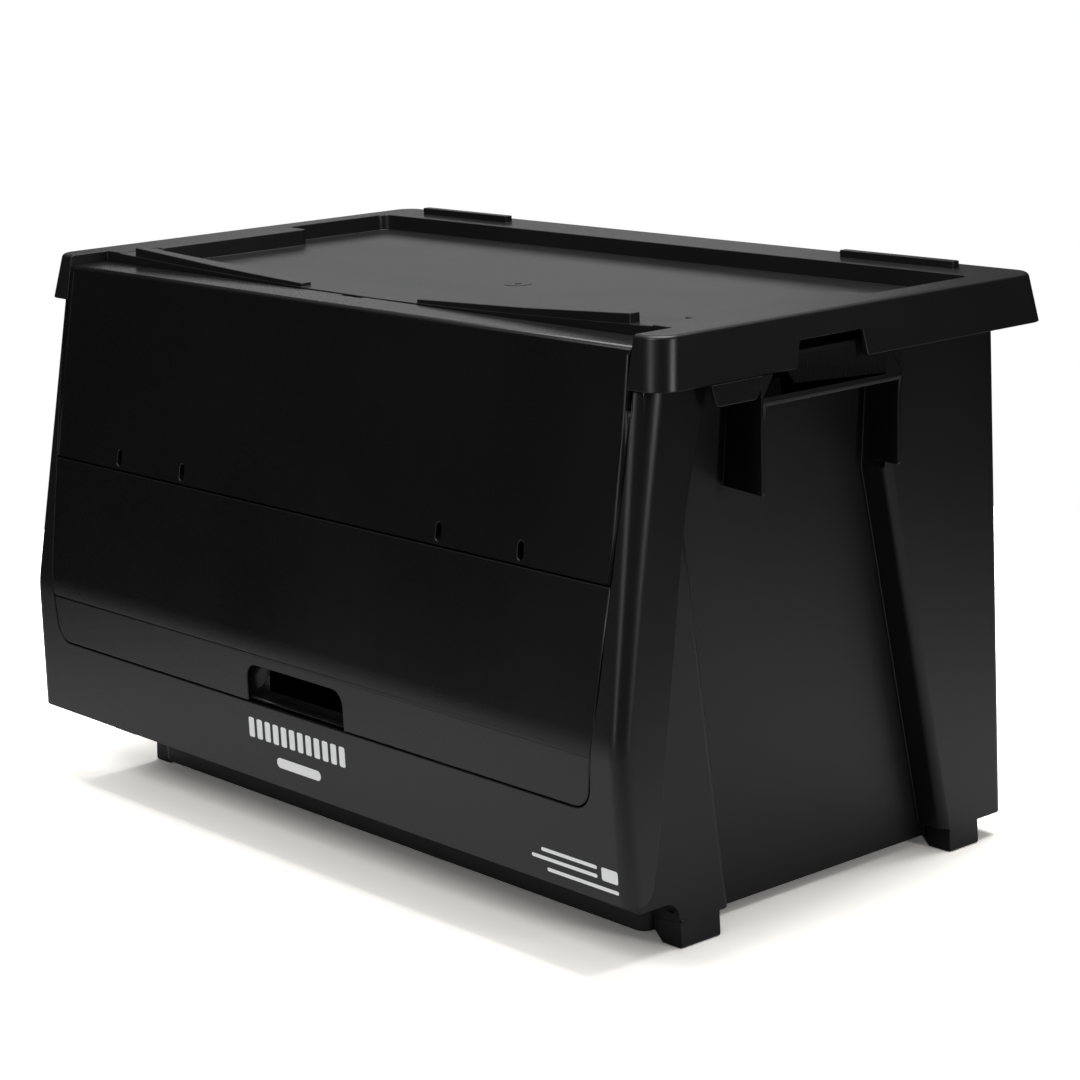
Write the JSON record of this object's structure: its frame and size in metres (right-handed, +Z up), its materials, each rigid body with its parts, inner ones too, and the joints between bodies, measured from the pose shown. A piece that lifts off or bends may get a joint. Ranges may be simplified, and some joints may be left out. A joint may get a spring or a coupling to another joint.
{
  "type": "attached lid tote",
  "caption": "Open-fronted plastic storage tote with lift-off stacking lid, side grips and a folding two-panel front door.",
  "frame": {"origin": "centre of the footprint, on the plane the feet stand on", "axes": "+X to the right seen from the front, front door faces -Y, +Z up"},
  "size_m": [0.6, 0.355, 0.35],
  "materials": {
    "tub_plastic": "satin moulded black",
    "frame_plastic": "satin moulded black",
    "lid_plastic": "satin moulded black",
    "door_plastic": "satin moulded black",
    "pin_steel": "drawn wire"
  },
  "bodies": {
    "base": {"tub": "tub_plastic", "front_frame": "frame_plastic", "door_pivot_pin_left": "pin_steel", "door_pivot_pin_right": "pin_steel"},
    "lid": {"lid": "lid_plastic"},
    "door_upper": {"door_upper": "door_plastic", "fold_hinge_pin_left": "pin_steel", "fold_hinge_pin_right": "pin_steel"},
    "door_lower": {"door_lower": "door_plastic"}
  },
  "joints": [
    {"name": "lid_lift", "type": "slide", "parent": "base", "child": "lid", "axis": [0, 0, 1], "range_m": [0, 0.06]},
    {"name": "door_swing", "type": "hinge", "parent": "base", "child": "door_upper", "pos_m": [0, -0.1247, 0.3348], "axis": [-1, 0, 0], "range_deg": [0, 90]},
    {"name": "door_fold", "type": "hinge", "parent": "door_upper", "child": "door_lower", "pos_m": [0, -0.1595, 0.2203], "axis": [1, 0, 0], "range_deg": [0, 90]}
  ],
  "couplings": [
    {"joint": "door_fold", "follows": "door_swing", "ratio": 1}
  ]
}
